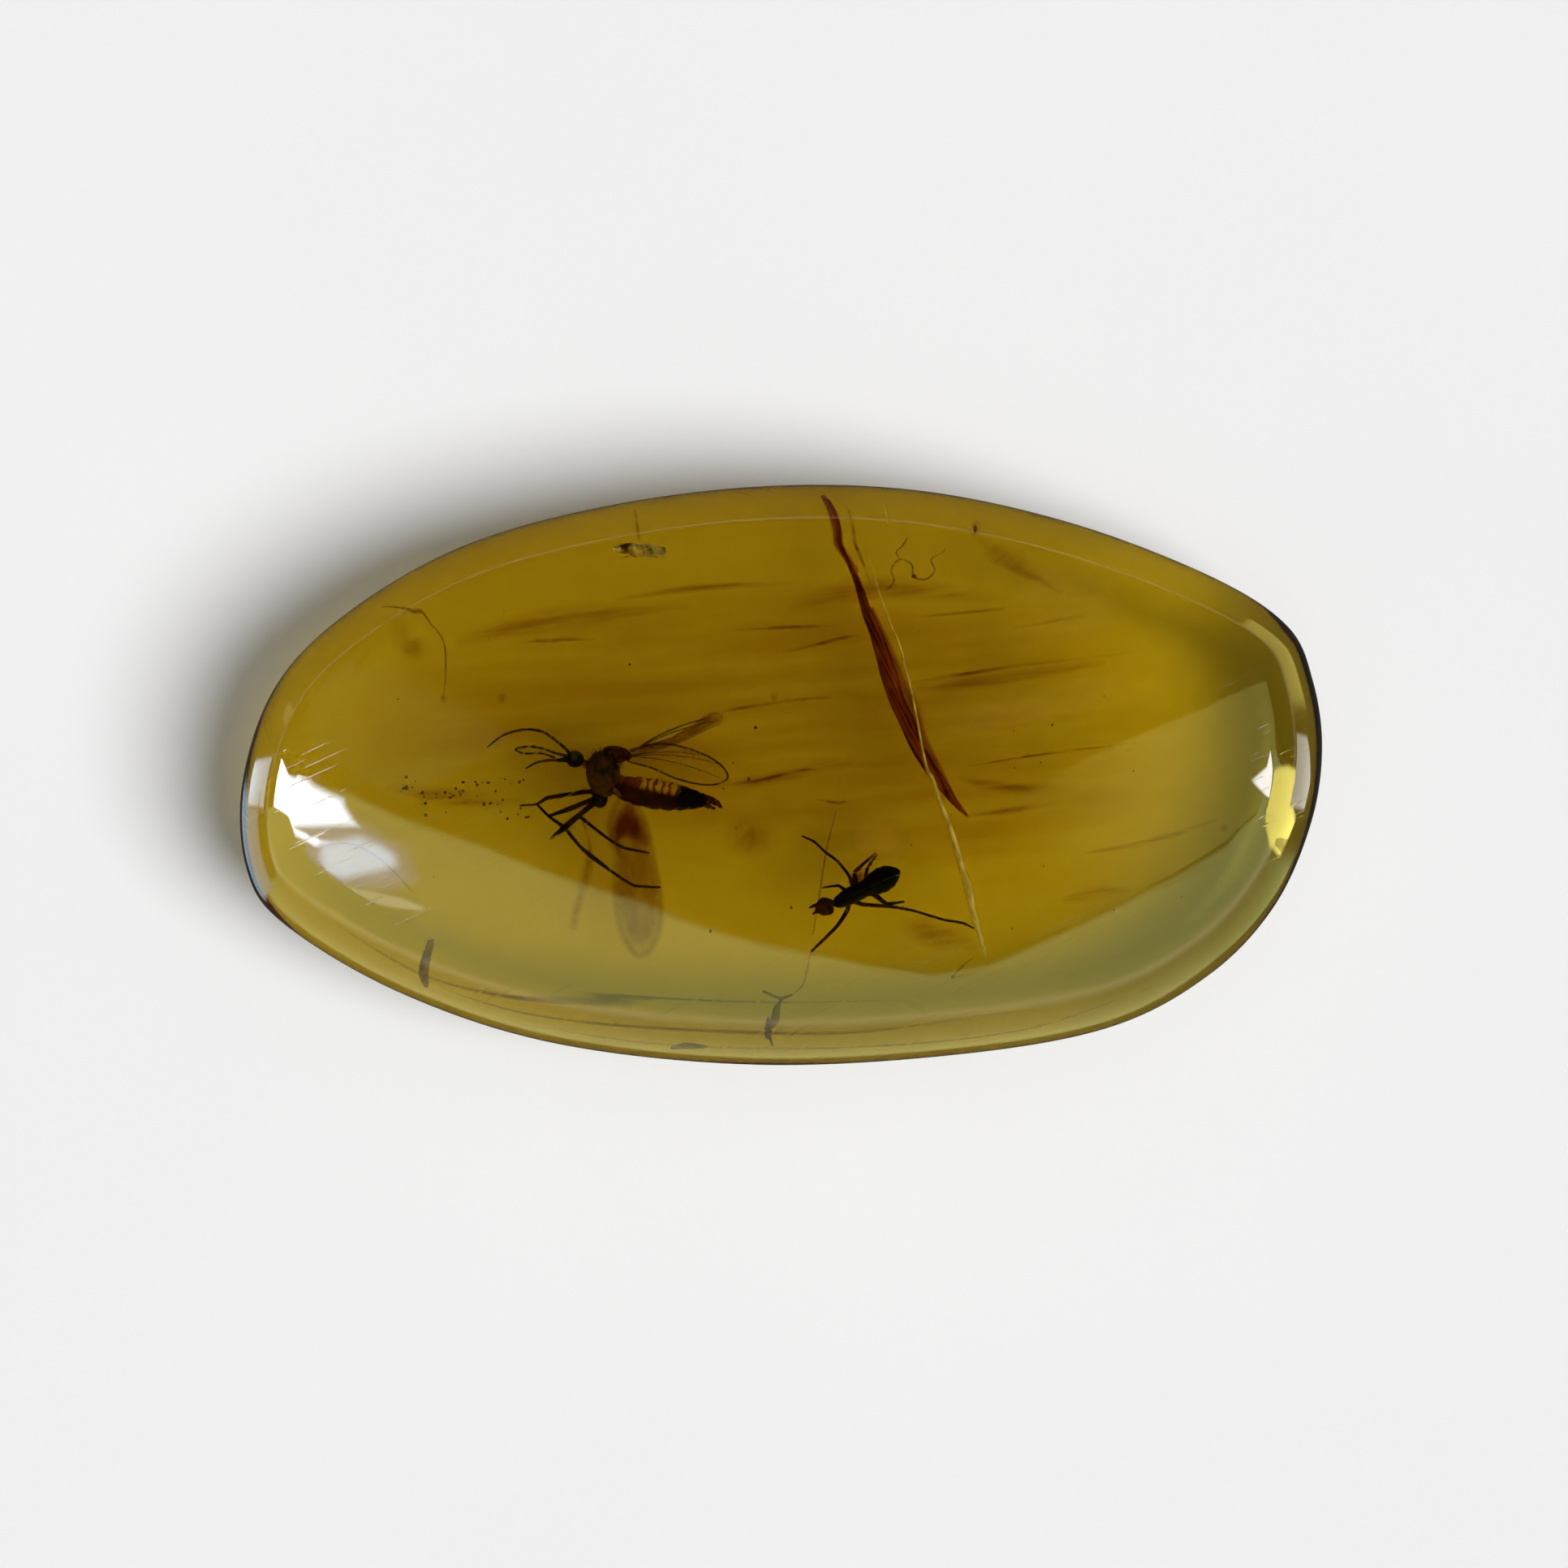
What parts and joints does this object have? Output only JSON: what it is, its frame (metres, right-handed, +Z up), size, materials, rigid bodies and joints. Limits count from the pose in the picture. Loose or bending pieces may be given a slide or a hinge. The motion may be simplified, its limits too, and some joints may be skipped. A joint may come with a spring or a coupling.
{
  "type": "insects in amber",
  "caption": "Polished clear golden amber cabochon with a long-legged gnat, an ant, a plant splinter, crumbs of debris and a thin brown flow layer sealed inside; lies on its flat base.",
  "frame": {"origin": "middle of the stone's bounding box, on the plane of its flat base", "axes": "+X along the stone's length towards its blunter end, +Y across it, +Z up out of the dome"},
  "size_m": [0.026, 0.014, 0.006],
  "materials": {
    "amber": "polished",
    "gnat_cuticle": "satin",
    "ant_cuticle": "glossy",
    "plant_fibre": "matte",
    "bark": "matte"
  },
  "bodies": {
    "root": {"amber_upper": "amber", "amber_lower": "amber", "gnat": "gnat_cuticle", "ant": "ant_cuticle", "plant_splinter": "plant_fibre", "leg_fragment": "bark", "twig_chip": "bark", "bark_crumb": "bark", "bark_fleck": "bark", "flow_layer": "amber"}
  },
  "joints": []
}
